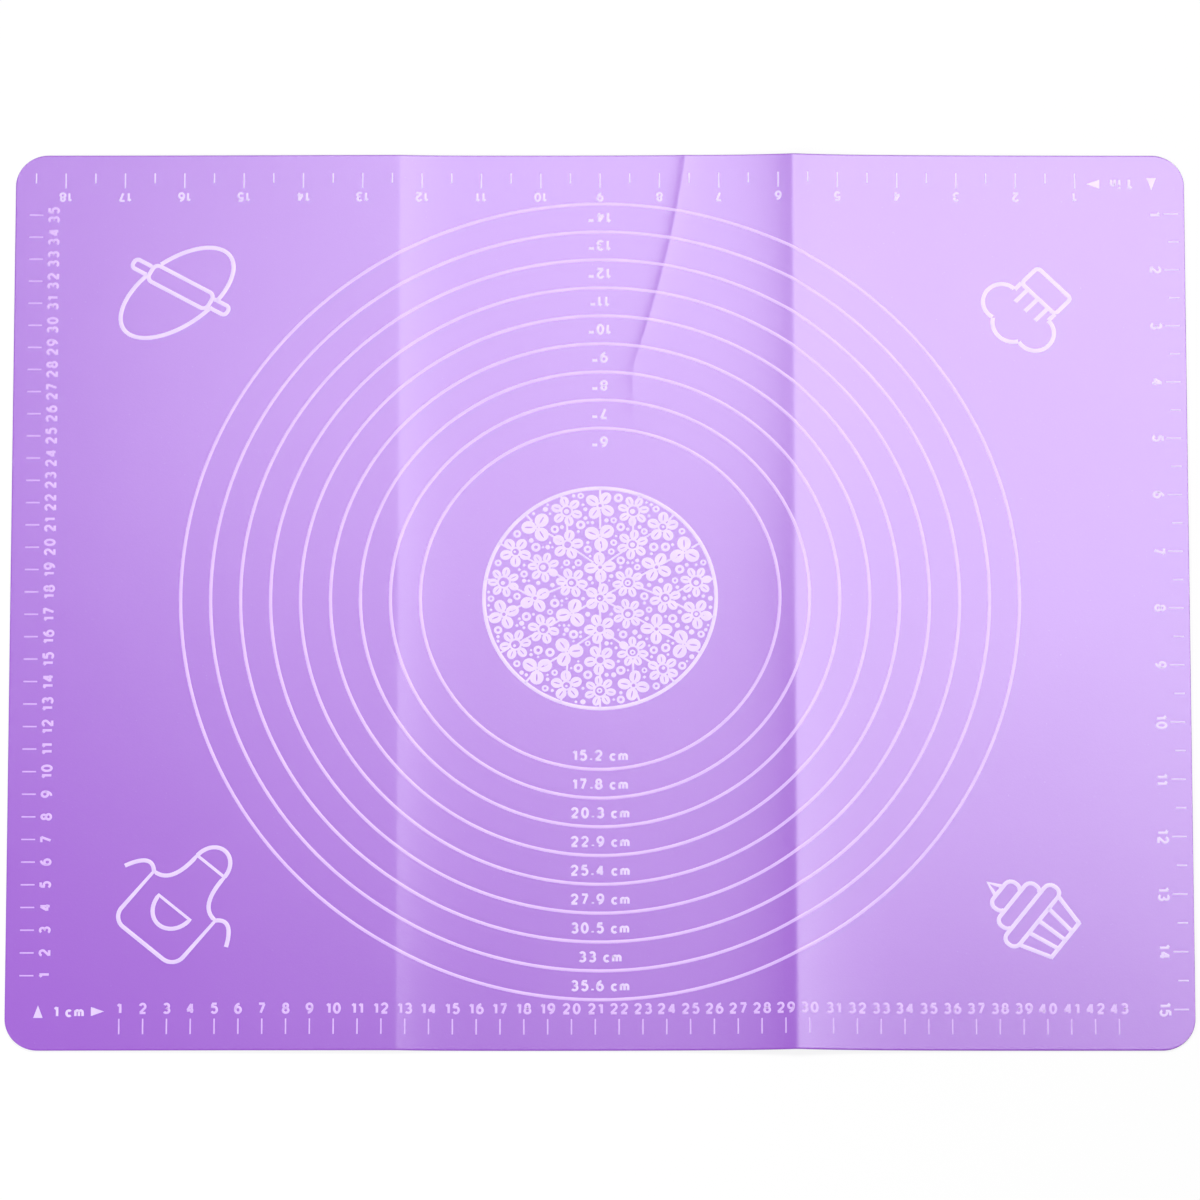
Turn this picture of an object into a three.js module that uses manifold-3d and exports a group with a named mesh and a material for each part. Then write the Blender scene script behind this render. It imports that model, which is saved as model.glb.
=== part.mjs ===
// Silicone pastry mat: a thin sheet that folds in three along two soft creases, with measuring
// rings, a centre medallion, corner pictures and scale arrows printed on it as a raised film.
// Millimetres, +Z up, +X along the long side. The origin is the middle of the underside.
import * as THREE from "three";
import { mergeVertices } from "three/addons/utils/BufferGeometryUtils.js";
import Module from "manifold-3d";

const wasm = await Module();
wasm.setup();

// Sheet
const MAT_WIDTH = 500;
const MAT_DEPTH = 400;
const CORNER_RADIUS = 14;
const SHEET_THICKNESS = 0.6;
const LEFT_CREASE_X = -86;
const RIGHT_CREASE_X = 83;
const CREASE_WIDTH = 4;

// Print
const INK_THICKNESS = 0.05;
const INK_BREAK = 0.3; // bare gap in a printed line over the middle of a crease

// Rings, one for each whole inch of diameter that the mat has room for
const MM_PER_INCH = 25.4;
const SMALLEST_RING_INCHES = 6;
const RING_STEP_INCHES = 1;
const RING_LINE_WIDTH = 1.4;
const RING_EDGE_MARGIN = 21;

// Centre medallion: a lace of small flowers in rings, each tied to one further in, inside a rim.
// A flower's sizes are shares of its radius: how far out its petals sit, half their length and width.
const MEDALLION_DIAMETER = 100;
const MEDALLION_RIM_WIDTH = 1.6;
const FLOWER_DIAMETER = 13.6;
const FLOWER_GAP = 0.2;
const FLOWERS_PER_RING = 6; // how many more flowers each ring has than the one inside it
const FLOWER_TURN = 2.4; // radians from one flower to the next
const FLOWERS = [
  { petals: 5, reach: 0.63, length: 0.37, width: 0.33 },
  { petals: 7, reach: 0.68, length: 0.32, width: 0.25 },
  { petals: 4, reach: 0.58, length: 0.42, width: 0.36 },
  { petals: 6, reach: 0.66, length: 0.34, width: 0.285 },
  { petals: 3, reach: 0.54, length: 0.46, width: 0.43 },
];
const TIE_WIDTH = 0.9; // of the ties, and of the ring round a flower's eye
const TIE_START = 0.5; // where a tie begins, as a share of a flower's radius

// Corner pictures, each drawn upright about its own middle and then turned
const PICTURE_RING_GAP = 49.5; // from the largest ring to the middle of a picture
const PICTURE_LINE_WIDTH = 1.8;
const PICTURE_SHIFTS = { // from the diagonal, right and up
  pin: [-1.5, -2.5],
  hat: [3, -10],
  apron: [1, 4],
  cupcake: [1, 1],
};

const PIN_BARREL_LENGTH = 29;
const PIN_BARREL_WIDTH = 8;
const PIN_BARREL_CORNER = 2.5;
const PIN_HANDLE_LENGTH = 8.5;
const PIN_HANDLE_WIDTH = 4.4;
const PIN_TURN = -29;
const PIN_SHIFT_UP = 3;
const DOUGH_LENGTH = 56;
const DOUGH_WIDTH = 29;
const DOUGH_TURN = 66;

const HAT_BAND_WIDTH = 20;
const HAT_BAND_HEIGHT = 10;
const HAT_CROWN_HEIGHT = 24;
const HAT_SIDE_PUFF_RADIUS = 8;
const HAT_TOP_PUFF_RADIUS = 9;
const HAT_PLEAT_HEIGHT = 8;
const HAT_PLEAT_PITCH = 6;
const HAT_TURN = 135;

const APRON_LENGTH = 44;
const APRON_BIB_WIDTH = 15;
const APRON_BIB_HEIGHT = 17;
const APRON_WAIST_WIDTH = 34;
const APRON_HEM_CORNER = 6;
const APRON_NECK_LOOP_HEIGHT = 9;
const APRON_TIE_LENGTH = 11;
const APRON_TIE_DROP = 6;
const POCKET_WIDTH = 17;
const POCKET_HEIGHT = 10;
const POCKET_DROP = 7; // below the waist
const APRON_TURN = -40;

const CUP_TOP_WIDTH = 27;
const CUP_BASE_WIDTH = 19;
const CUP_HEIGHT = 14;
const CUP_PLEATS = 3;
const ICING_TIER_HEIGHT = 7;
const ICING_BOTTOM_WIDTH = 32;
const ICING_TIER_STEP = 9; // each tier is this much narrower than the one below
const ICING_TIERS = 3;
const ICING_TIP_HEIGHT = 6;
const CUPCAKE_TURN = 52;

// Scale arrows beside the corners where the two pairs of scales start
const ARROW_LENGTH = 5.5;
const ARROW_WIDTH = 4;
const ARROW_NEAR_INSET = 14;
const ARROW_FAR_INSET = 39;
const CM_ARROW_EDGE_GAP = 17;
const INCH_ARROW_EDGE_GAP = 13;

// Roundness
const ARC_TOLERANCE = 0.1; // greatest distance from a chord to its arc
const CURVE_STEPS = 8; // chords in each bend of a picture
const OVAL_STEPS = 40; // chords round the dough
const PETAL_STEPS = 8; // chords round each petal of the medallion
const SAME_POINT = 0.01; // points closer than this are one
const CUT_MARGIN = 2; // how far a cutting block reaches past what it cuts

const silicone = new THREE.MeshStandardMaterial({ color: 0xa873e0, roughness: 0.5, metalness: 0 });
const ink = new THREE.MeshStandardMaterial({ color: 0xeedcfb, roughness: 0.55, metalness: 0 });

const mat = new THREE.Group();

function addPiece(name, geometry, material, z) {
  const mesh = new THREE.Mesh(geometry, material);
  mesh.name = name;
  mesh.position.z = z;
  mat.add(mesh);
  return mesh;
}

function addPrint(name, solid) {
  return addPiece(name, toGeometry(solid), ink, SHEET_THICKNESS);
}

// Solids for adding and cutting

function toSolid(geometry) {
  const bare = geometry.clone();
  bare.deleteAttribute("normal");
  bare.deleteAttribute("uv");
  const merged = mergeVertices(bare, 1e-4);
  const vertProperties = merged.attributes.position.array;
  const triVerts = new Uint32Array(merged.index.array);
  return new wasm.Manifold(new wasm.Mesh({ numProp: 3, vertProperties, triVerts }));
}

function toGeometry(solid) {
  const mesh = solid.getMesh();
  const geometry = new THREE.BufferGeometry();
  geometry.setAttribute("position", new THREE.Float32BufferAttribute(mesh.vertProperties, 3));
  geometry.setIndex(new THREE.Uint32BufferAttribute(mesh.triVerts, 1));
  return geometry;
}

function extrude(shape, thickness) {
  return new THREE.ExtrudeGeometry(shape, { depth: thickness, bevelEnabled: false });
}

function film(shape) {
  return toSolid(extrude(shape, INK_THICKNESS));
}

function unite(solids) {
  return solids.reduce((sum, solid) => sum.add(solid));
}

// A block that keeps one part of the sheet or of the film when it is cut.
function block(xLow, xHigh, yLow, yHigh) {
  const height = Math.max(SHEET_THICKNESS, INK_THICKNESS) + 2 * CUT_MARGIN;
  const box = new THREE.BoxGeometry(xHigh - xLow, yHigh - yLow, height);
  box.translate((xLow + xHigh) / 2, (yLow + yHigh) / 2, height / 2 - CUT_MARGIN);
  return toSolid(box);
}

// Outlines

function chordsRound(radius) {
  return Math.ceil(Math.PI / Math.acos(1 - ARC_TOLERANCE / radius));
}

function circlePoints(radius, x = 0, y = 0) {
  return new THREE.EllipseCurve(x, y, radius, radius).getPoints(chordsRound(radius)).slice(0, -1);
}

function roundedBar(length, width, corner, x = 0, y = 0) {
  const right = length / 2 - corner;
  const top = width / 2 - corner;
  const quarter = Math.PI / 2;
  const path = new THREE.Path();
  path.absarc(x + right, y + top, corner, 0, quarter);
  path.absarc(x - right, y + top, corner, quarter, 2 * quarter);
  path.absarc(x - right, y - top, corner, 2 * quarter, 3 * quarter);
  path.absarc(x + right, y - top, corner, 3 * quarter, 4 * quarter);
  return loopPoints(path, Math.max(2, Math.ceil(chordsRound(corner) / 8)));
}

// The points of a path that closes on itself, without repeats. An arc gets twice the steps.
function loopPoints(path, steps) {
  const points = path.getPoints(steps);
  return points.filter((point, i) => point.distanceTo(points[(i + 1) % points.length]) > SAME_POINT);
}

// The points moved sideways by a distance, to the left of their direction, with mitred corners.
function offsetPoints(points, closed, distance) {
  const last = points.length - 1;
  return points.map((point, i) => {
    const before = i > 0 ? points[i - 1] : points[closed ? last : 0];
    const after = i < last ? points[i + 1] : points[closed ? 0 : last];
    const arriving = point.clone().sub(before).normalize();
    const leaving = after.clone().sub(point).normalize();
    const along = arriving.clone().add(leaving).normalize();
    const side = new THREE.Vector2(-along.y, along.x);
    const whole = leaving.length() > 0 ? leaving : arriving;
    const mitre = distance / along.dot(whole);
    return point.clone().addScaledVector(side, mitre);
  });
}

// A printed line along points: a closed ring of film, or a strip with two ends.
function closedLine(points, width) {
  const sides = [offsetPoints(points, true, width / 2), offsetPoints(points, true, -width / 2)];
  sides.sort((a, b) => Math.abs(THREE.ShapeUtils.area(b)) - Math.abs(THREE.ShapeUtils.area(a)));
  const shape = new THREE.Shape(sides[0]);
  shape.holes.push(new THREE.Path(sides[1]));
  return film(shape);
}

function openLine(points, width) {
  const left = offsetPoints(points, false, width / 2);
  const right = offsetPoints(points, false, -width / 2);
  return film(new THREE.Shape([...left, ...right.reverse()]));
}

function filled(points) {
  return film(new THREE.Shape(points));
}

// Sheet: three panels with a bending strip between each pair

const half = { width: MAT_WIDTH / 2, depth: MAT_DEPTH / 2 };
const wholeSheet = toSolid(
  extrude(new THREE.Shape(roundedBar(MAT_WIDTH, MAT_DEPTH, CORNER_RADIUS)), SHEET_THICKNESS));

function addSheetPart(name, xLow, xHigh) {
  const part = wholeSheet.intersect(block(xLow, xHigh, -half.depth - CUT_MARGIN, half.depth + CUT_MARGIN));
  addPiece(name, toGeometry(part), silicone, 0);
}

const leftCrease = { low: LEFT_CREASE_X - CREASE_WIDTH / 2, high: LEFT_CREASE_X + CREASE_WIDTH / 2 };
const rightCrease = { low: RIGHT_CREASE_X - CREASE_WIDTH / 2, high: RIGHT_CREASE_X + CREASE_WIDTH / 2 };

addSheetPart("left_panel", -half.width - CUT_MARGIN, leftCrease.low);
addSheetPart("left_crease", leftCrease.low, leftCrease.high);
addSheetPart("centre_panel", leftCrease.high, rightCrease.low);
addSheetPart("right_crease", rightCrease.low, rightCrease.high);
addSheetPart("right_panel", rightCrease.high, half.width + CUT_MARGIN);

// Rings, in one arc for each panel that they cross

const printZones = {
  left: [-half.width, LEFT_CREASE_X - INK_BREAK / 2],
  centre: [LEFT_CREASE_X + INK_BREAK / 2, RIGHT_CREASE_X - INK_BREAK / 2],
  right: [RIGHT_CREASE_X + INK_BREAK / 2, half.width],
};

function addRing(inches) {
  const name = `ring_${String(inches).padStart(2, "0")}in`;
  const radius = (inches * MM_PER_INCH) / 2;
  const ring = closedLine(circlePoints(radius), RING_LINE_WIDTH);
  const reach = radius + RING_LINE_WIDTH / 2;
  const bore = radius - RING_LINE_WIDTH / 2;
  const arc = (zone, low, high) => ring.intersect(block(...zone, low, high));
  if (-reach < printZones.left[1]) {
    addPrint(`${name}_left_arc`, arc(printZones.left, -reach, reach));
  }
  if (reach > printZones.right[0]) {
    addPrint(`${name}_right_arc`, arc(printZones.right, -reach, reach));
  }
  const partedTwice = -bore < printZones.centre[0] && bore > printZones.centre[1];
  if (partedTwice) {
    addPrint(`${name}_top_arc`, arc(printZones.centre, 0, reach));
    addPrint(`${name}_bottom_arc`, arc(printZones.centre, -reach, 0));
  } else {
    addPrint(name, arc(printZones.centre, -reach, reach));
  }
}

const roomForRings = MAT_DEPTH - 2 * RING_EDGE_MARGIN;
let largestRingRadius = 0;
for (let inches = SMALLEST_RING_INCHES; inches * MM_PER_INCH <= roomForRings; inches += RING_STEP_INCHES) {
  addRing(inches);
  largestRingRadius = (inches * MM_PER_INCH) / 2;
}

// Centre medallion

const flowerRadius = FLOWER_DIAMETER / 2;

function petalPoints(x, y, along, across, bearing) {
  const oval = new THREE.EllipseCurve(x, y, along, across, 0, 2 * Math.PI, false, bearing);
  return oval.getPoints(PETAL_STEPS).slice(0, -1);
}

// An oval for each petal, held by a ring round the eye, or by a small disc where there's no room for one.
function flowerSolids({ petals, reach, length, width }, at, turn) {
  const eye = (reach - length) * flowerRadius + TIE_WIDTH / 8;
  const solids = eye > TIE_WIDTH
    ? [closedLine(petalPoints(at.x, at.y, eye, eye, turn), TIE_WIDTH)]
    : [filled(petalPoints(at.x, at.y, TIE_WIDTH, TIE_WIDTH, turn))];
  for (let i = 0; i < petals; i++) {
    const bearing = turn + (2 * Math.PI * i) / petals;
    const x = at.x + reach * flowerRadius * Math.cos(bearing);
    const y = at.y + reach * flowerRadius * Math.sin(bearing);
    const oval = petalPoints(x, y, length * flowerRadius, width * flowerRadius, bearing);
    solids.push(filled(oval));
  }
  return solids;
}

function tie(from, to) {
  const start = TIE_START * flowerRadius;
  const way = to.clone().sub(from).setLength(start);
  return openLine([from.clone().add(way), to.clone().sub(way)], TIE_WIDTH);
}

function medallion() {
  const rimRadius = (MEDALLION_DIAMETER - MEDALLION_RIM_WIDTH) / 2;
  const solids = [closedLine(circlePoints(rimRadius), MEDALLION_RIM_WIDTH)];
  const pitch = FLOWER_DIAMETER + FLOWER_GAP;
  const room = rimRadius - MEDALLION_RIM_WIDTH / 2 - flowerRadius;
  let made = 0;
  let inner = [];
  for (let ring = 0; ring * pitch <= room; ring++) {
    const count = Math.max(1, ring * FLOWERS_PER_RING);
    const flowers = Array.from({ length: count }, (_, i) => {
      const bearing = (2 * Math.PI * (i + ring / 2)) / count;
      return new THREE.Vector2(Math.cos(bearing), Math.sin(bearing)).multiplyScalar(ring * pitch);
    });
    for (const at of flowers) {
      solids.push(...flowerSolids(FLOWERS[made % FLOWERS.length], at, made * FLOWER_TURN));
      const near = [...inner].sort((a, b) => a.distanceTo(at) - b.distanceTo(at))[0];
      if (near) solids.push(tie(at, near));
      made += 1;
    }
    inner = flowers;
  }
  for (const at of inner) {
    const start = at.clone().setLength(at.length() + TIE_START * flowerRadius);
    solids.push(openLine([start, at.clone().setLength(rimRadius)], TIE_WIDTH));
  }
  return wasm.Manifold.union(solids);
}

addPrint("centre_medallion", medallion());

// Corner pictures

const line = PICTURE_LINE_WIDTH;

function rollingPinPicture() {
  const handleX = PIN_BARREL_LENGTH / 2 + PIN_HANDLE_LENGTH / 2;
  const handleCorner = PIN_HANDLE_WIDTH / 2 - line / 4;
  const bars = [
    roundedBar(PIN_BARREL_LENGTH, PIN_BARREL_WIDTH, PIN_BARREL_CORNER, 0, PIN_SHIFT_UP),
    roundedBar(PIN_HANDLE_LENGTH, PIN_HANDLE_WIDTH, handleCorner, -handleX, PIN_SHIFT_UP),
    roundedBar(PIN_HANDLE_LENGTH, PIN_HANDLE_WIDTH, handleCorner, handleX, PIN_SHIFT_UP),
  ];
  const turn = THREE.MathUtils.degToRad(DOUGH_TURN);
  const oval = new THREE.EllipseCurve(0, 0, DOUGH_LENGTH / 2, DOUGH_WIDTH / 2, 0, 2 * Math.PI, false, turn);
  const dough = closedLine(oval.getPoints(OVAL_STEPS).slice(0, -1), line);
  const underPin = unite(bars.map(filled));
  return unite([dough.subtract(underPin), ...bars.map((points) => closedLine(points, line))]);
}

function chefHatPicture() {
  const base = -(HAT_BAND_HEIGHT + HAT_CROWN_HEIGHT) / 2;
  const bandTop = base + HAT_BAND_HEIGHT;
  const band = roundedBar(HAT_BAND_WIDTH, HAT_BAND_HEIGHT, line, 0, base + HAT_BAND_HEIGHT / 2);
  const sideX = HAT_BAND_WIDTH / 2;
  const topY = bandTop + HAT_CROWN_HEIGHT - HAT_TOP_PUFF_RADIUS;
  const sideY = bandTop + HAT_CROWN_HEIGHT / 2;
  const crown = (grow) => unite([
    filled(circlePoints(HAT_SIDE_PUFF_RADIUS + grow, -sideX, sideY)),
    filled(circlePoints(HAT_SIDE_PUFF_RADIUS + grow, sideX, sideY)),
    filled(circlePoints(HAT_TOP_PUFF_RADIUS + grow, 0, topY)),
    filled(roundedBar(HAT_BAND_WIDTH + 2 * grow, sideY - base, line, 0, (sideY + base) / 2)),
  ]);
  const outline = crown(line / 2).subtract(crown(-line / 2)).subtract(filled(band));
  const pleats = [-HAT_PLEAT_PITCH, 0, HAT_PLEAT_PITCH].map((x) => {
    const foot = new THREE.Vector2(x, bandTop);
    return openLine([foot, new THREE.Vector2(x, bandTop + HAT_PLEAT_HEIGHT)], line);
  });
  return unite([outline, closedLine(band, line), ...pleats]);
}

const apronTop = APRON_LENGTH / 2;
const apronWaist = apronTop - APRON_BIB_HEIGHT;
const apronHem = -APRON_LENGTH / 2;

function apronPicture() {
  const bib = APRON_BIB_WIDTH / 2;
  const waist = APRON_WAIST_WIDTH / 2;
  const body = new THREE.Path();
  body.moveTo(-bib, apronTop);
  body.quadraticCurveTo(-bib, apronWaist, -waist, apronWaist);
  const hemX = waist - APRON_HEM_CORNER;
  const hemY = apronHem + APRON_HEM_CORNER;
  body.absarc(-hemX, hemY, APRON_HEM_CORNER, Math.PI, 1.5 * Math.PI);
  body.absarc(hemX, hemY, APRON_HEM_CORNER, 1.5 * Math.PI, 2 * Math.PI);
  body.lineTo(waist, apronWaist);
  body.quadraticCurveTo(bib, apronWaist, bib, apronTop);
  const loop = new THREE.EllipseCurve(0, apronTop, bib, APRON_NECK_LOOP_HEIGHT, 0, Math.PI);
  const ties = [-1, 1].map((side) => new THREE.QuadraticBezierCurve(
    new THREE.Vector2(side * waist, apronWaist),
    new THREE.Vector2(side * (waist + APRON_TIE_LENGTH / 2), apronWaist + APRON_TIE_DROP),
    new THREE.Vector2(side * (waist + APRON_TIE_LENGTH), apronWaist - APRON_TIE_DROP)));
  const strings = [loop, ...ties].map((curve) => openLine(curve.getPoints(CURVE_STEPS), line));
  return unite([closedLine(loopPoints(body, CURVE_STEPS / 2), line), ...strings]);
}

function apronPocketPicture() {
  const top = apronWaist - POCKET_DROP;
  const arc = new THREE.EllipseCurve(0, top, POCKET_WIDTH / 2, POCKET_HEIGHT, Math.PI, 2 * Math.PI);
  return closedLine(arc.getPoints(CURVE_STEPS * 2), line);
}

function cupcakePicture() {
  const base = -(CUP_HEIGHT + ICING_TIERS * ICING_TIER_HEIGHT + ICING_TIP_HEIGHT) / 2;
  const rim = base + CUP_HEIGHT;
  const cup = [
    new THREE.Vector2(-CUP_BASE_WIDTH / 2, base),
    new THREE.Vector2(CUP_BASE_WIDTH / 2, base),
    new THREE.Vector2(CUP_TOP_WIDTH / 2, rim),
    new THREE.Vector2(-CUP_TOP_WIDTH / 2, rim),
  ];
  const pleats = Array.from({ length: CUP_PLEATS }, (_, i) => {
    const across = (i + 1) / (CUP_PLEATS + 1) - 0.5;
    const ends = [[CUP_BASE_WIDTH, base], [CUP_TOP_WIDTH, rim]];
    return openLine(ends.map(([width, y]) => new THREE.Vector2(across * width, y)), line);
  });
  const tiers = Array.from({ length: ICING_TIERS }, (_, i) => {
    const width = ICING_BOTTOM_WIDTH - i * ICING_TIER_STEP;
    const y = rim + (i + 0.5) * ICING_TIER_HEIGHT;
    return closedLine(roundedBar(width, ICING_TIER_HEIGHT, ICING_TIER_HEIGHT / 2 - line / 4, 0, y), line);
  });
  const tipBase = rim + ICING_TIERS * ICING_TIER_HEIGHT;
  const tipHalf = (ICING_BOTTOM_WIDTH - ICING_TIERS * ICING_TIER_STEP) / 2;
  const tip = openLine([
    new THREE.Vector2(-tipHalf, tipBase),
    new THREE.Vector2(0, tipBase + ICING_TIP_HEIGHT),
    new THREE.Vector2(tipHalf, tipBase),
  ], line);
  return unite([closedLine(cup, line), ...pleats, ...tiers, tip]);
}

// The pictures lie on the diagonals of the field inside the scales, clear of the largest ring.
const pictureCentre = new THREE.Vector2(half.width - RING_EDGE_MARGIN, half.depth - RING_EDGE_MARGIN);
pictureCentre.setLength(largestRingRadius + PICTURE_RING_GAP);

function addPicture(name, solid, sideX, sideY, [shiftX, shiftY], turn) {
  const mesh = addPrint(name, solid);
  mesh.position.x = sideX * pictureCentre.x + shiftX;
  mesh.position.y = sideY * pictureCentre.y + shiftY;
  mesh.rotation.z = THREE.MathUtils.degToRad(turn);
}

addPicture("rolling_pin_print", rollingPinPicture(), -1, 1, PICTURE_SHIFTS.pin, PIN_TURN);
addPicture("chef_hat_print", chefHatPicture(), 1, 1, PICTURE_SHIFTS.hat, HAT_TURN);
addPicture("apron_print", apronPicture(), -1, -1, PICTURE_SHIFTS.apron, APRON_TURN);
addPicture("apron_pocket_print", apronPocketPicture(), -1, -1, PICTURE_SHIFTS.apron, APRON_TURN);
addPicture("cupcake_print", cupcakePicture(), 1, -1, PICTURE_SHIFTS.cupcake, CUPCAKE_TURN);

// Scale arrows

function addArrow(name, x, y, turn) {
  const mesh = addPrint(name, filled([
    new THREE.Vector2(ARROW_LENGTH / 2, 0),
    new THREE.Vector2(-ARROW_LENGTH / 2, ARROW_WIDTH / 2),
    new THREE.Vector2(-ARROW_LENGTH / 2, -ARROW_WIDTH / 2),
  ]));
  mesh.position.x = x;
  mesh.position.y = y;
  mesh.rotation.z = THREE.MathUtils.degToRad(turn);
}

const cmArrowY = -half.depth + CM_ARROW_EDGE_GAP;
const inchArrowY = half.depth - INCH_ARROW_EDGE_GAP;
addArrow("cm_scale_up_arrow", -half.width + ARROW_NEAR_INSET, cmArrowY, 90);
addArrow("cm_scale_right_arrow", -half.width + ARROW_FAR_INSET, cmArrowY, 0);
addArrow("inch_scale_left_arrow", half.width - ARROW_FAR_INSET, inchArrowY, 180);
addArrow("inch_scale_down_arrow", half.width - ARROW_NEAR_INSET, inchArrowY, -90);

export default mat;
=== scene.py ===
import math
from typing import NamedTuple

import bpy
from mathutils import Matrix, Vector
from mathutils.kdtree import KDTree


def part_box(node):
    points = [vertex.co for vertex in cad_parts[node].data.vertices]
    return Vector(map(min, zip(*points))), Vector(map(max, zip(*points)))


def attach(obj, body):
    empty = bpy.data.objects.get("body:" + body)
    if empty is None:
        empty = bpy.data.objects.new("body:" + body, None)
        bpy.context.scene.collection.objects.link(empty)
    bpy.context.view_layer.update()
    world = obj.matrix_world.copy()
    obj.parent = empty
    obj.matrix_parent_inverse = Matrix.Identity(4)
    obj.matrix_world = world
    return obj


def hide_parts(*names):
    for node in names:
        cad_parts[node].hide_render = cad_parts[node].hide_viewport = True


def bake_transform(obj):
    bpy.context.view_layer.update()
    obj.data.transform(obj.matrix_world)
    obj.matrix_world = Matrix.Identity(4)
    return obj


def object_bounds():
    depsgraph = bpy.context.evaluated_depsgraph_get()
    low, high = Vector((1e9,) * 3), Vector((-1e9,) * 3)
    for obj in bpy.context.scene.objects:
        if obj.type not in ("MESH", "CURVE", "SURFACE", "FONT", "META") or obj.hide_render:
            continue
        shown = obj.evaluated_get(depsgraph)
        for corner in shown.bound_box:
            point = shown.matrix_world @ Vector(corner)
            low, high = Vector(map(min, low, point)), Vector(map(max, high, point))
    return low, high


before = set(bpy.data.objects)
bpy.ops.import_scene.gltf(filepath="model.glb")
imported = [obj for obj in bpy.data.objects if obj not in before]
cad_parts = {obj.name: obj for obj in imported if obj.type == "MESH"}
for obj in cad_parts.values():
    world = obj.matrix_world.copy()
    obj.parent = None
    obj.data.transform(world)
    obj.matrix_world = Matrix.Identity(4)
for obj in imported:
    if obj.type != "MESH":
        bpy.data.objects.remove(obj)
CAD_LOW, CAD_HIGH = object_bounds()

bl_info = {
    "name": "Pastry mat",
    "version": (1, 0, 0),
    "blender": (4, 5, 0),
    "location": "3D View > Sidebar > Pastry mat",
    "description": "Dresses the frame of a folding pastry mat with its silicone sheet and its print",
    "category": "Add Mesh",
}

MM = 0.001
INCH = 0.0254
CM_PER_INCH = 2.54

# Places that come from the frame
SHEET_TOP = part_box("centre_panel")[1].z
INK_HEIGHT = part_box("ring_06in")[1].z - SHEET_TOP
HALF_WIDTH = CAD_HIGH.x
HALF_DEPTH = CAD_HIGH.y
LEFT_CREASE = (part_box("left_crease")[0].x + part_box("left_crease")[1].x) / 2
RIGHT_CREASE = (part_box("right_crease")[0].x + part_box("right_crease")[1].x) / 2
RING_INCHES = range(6, 15)

# Cells of the sheet
COLUMNS = {"left_panel": 70, "left_crease": 24, "centre_panel": 100, "right_crease": 24, "right_panel": 70}
ROWS = 120
END_CLOSENESS = 0.8
SHARP_ANGLE = math.radians(35)
RIM_ANGLE = math.radians(60)
SEAM_NEARNESS = 0.1 * MM

# The handling crinkle runs from the far edge of the middle panel towards the centre
CRINKLE_FOOT = (14 * MM, 104 * MM)
CRINKLE_RUN = 95 * MM
CRINKLE_LEAN = 32.6 * MM
CRINKLE_BOW = 10.1 * MM
CRINKLE_END = 75 * MM
CRINKLE_FADE = 45 * MM
CRINKLE_STEP = 0.8 * MM
CRINKLE_MARGIN = 5 * MM

# How far each ridge spreads to its left and to its right
LEFT_REACH = (100 * MM, 11 * MM)
RIGHT_REACH = (18 * MM, 18 * MM)
RIGHT_SWELL_REACH = (46 * MM, 46 * MM)
CRINKLE_REACH = (2.2 * MM, 3 * MM)
CRINKLE_SWELL_REACH = (25 * MM, 25 * MM)

# Slow waves of the sheet: how far along x and along y each takes to turn by a radian, and where it starts
SLOW_WAVE = (61 * MM, 83 * MM)
SLOW_START = (0.7, 0.4)
QUICK_WAVE = (37 * MM, 52 * MM)
QUICK_START = 2.1
QUICK_SHARE = 0.6

# Steps of round strokes, and sides of a printed ring's line
RING_STEPS_PER_INCH = 24
LINE_SIDES = 8
ARC_STEPS = 24
ARCH_STEPS = 12
BOW_STEPS = 14
DOUGH_STEPS = 160
PUFF_STEPS = 120
CORNER_STEPS = 6
HEM_STEPS = 8

# Corner pictures, each drawn upright about its middle, in millimetres, then turned
LINE_LAP = 0.6
PIN_BARREL = (29, 8, 2.5)
PIN_HANDLE = (8.5, 4.4, 1.75)
PIN_RISE = 3
PIN_TURN = -29
DOUGH = (56, 29)
DOUGH_TURN = 66
HAT_BAND = (20, 10, 1.8)
HAT_CROWN_HEIGHT = 24
HAT_SIDE_PUFF = 8
HAT_TOP_PUFF = 9
HAT_PLEAT_HEIGHT = 8
HAT_PLEAT_PITCH = 6
HAT_TURN = 135
APRON_TOP = 22
APRON_WAIST_Y = 5
APRON_HEM = -22
APRON_BIB = 7.5
APRON_WAIST = 17
APRON_HEM_CORNER = 6
APRON_LOOP_HEIGHT = 9
APRON_TIE = 11
APRON_TIE_DROP = 6
APRON_TURN = -40
POCKET = (17, 10)
POCKET_DROP = 7
CUP_TOP = 27
CUP_BASE = 19
CUP_HEIGHT = 14
CUP_PLEATS = 3
ICING_TIERS = 3
ICING_TIER_HEIGHT = 7
ICING_BOTTOM = 32
ICING_STEP = 9
ICING_TIP = 6
ICING_FLAT = 0.45
ICING_LAP = 0.3
CUPCAKE_TURN = 52

# Centre medallion: a lace of flowers in rings, in millimetres. Each flower is its number of petals and, as
# shares of its radius, how far out they sit and half their length and width.
RIM_WIDTH = 1.6
FLOWER_RADIUS = 6.8
FLOWER_GAP = 0.2
FLOWERS_PER_RING = 6
FLOWER_RINGS = 4
FLOWER_TURN = 2.4
FLOWERS = (
    (5, 0.63, 0.37, 0.33),
    (7, 0.68, 0.32, 0.25),
    (4, 0.58, 0.42, 0.36),
    (6, 0.66, 0.34, 0.285),
    (3, 0.54, 0.46, 0.43),
)
TIE_WIDTH = 0.9
TIE_START = 0.5
EYE_LAP = TIE_WIDTH / 8
PETAL_STEPS = 20
VEIN = (0.55, 0.12)
BERRY_GAP = 0.5
BERRY_RADII = (0.5, 2.0)
BERRY_WITH_EYE = 1.2
BERRY_EYE = 0.4
PETAL_MARKS = (1.0, 0.7, 0.4, 0.1)
TIE_MARKS = 8
MEDALLION_STEPS = 160

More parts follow.
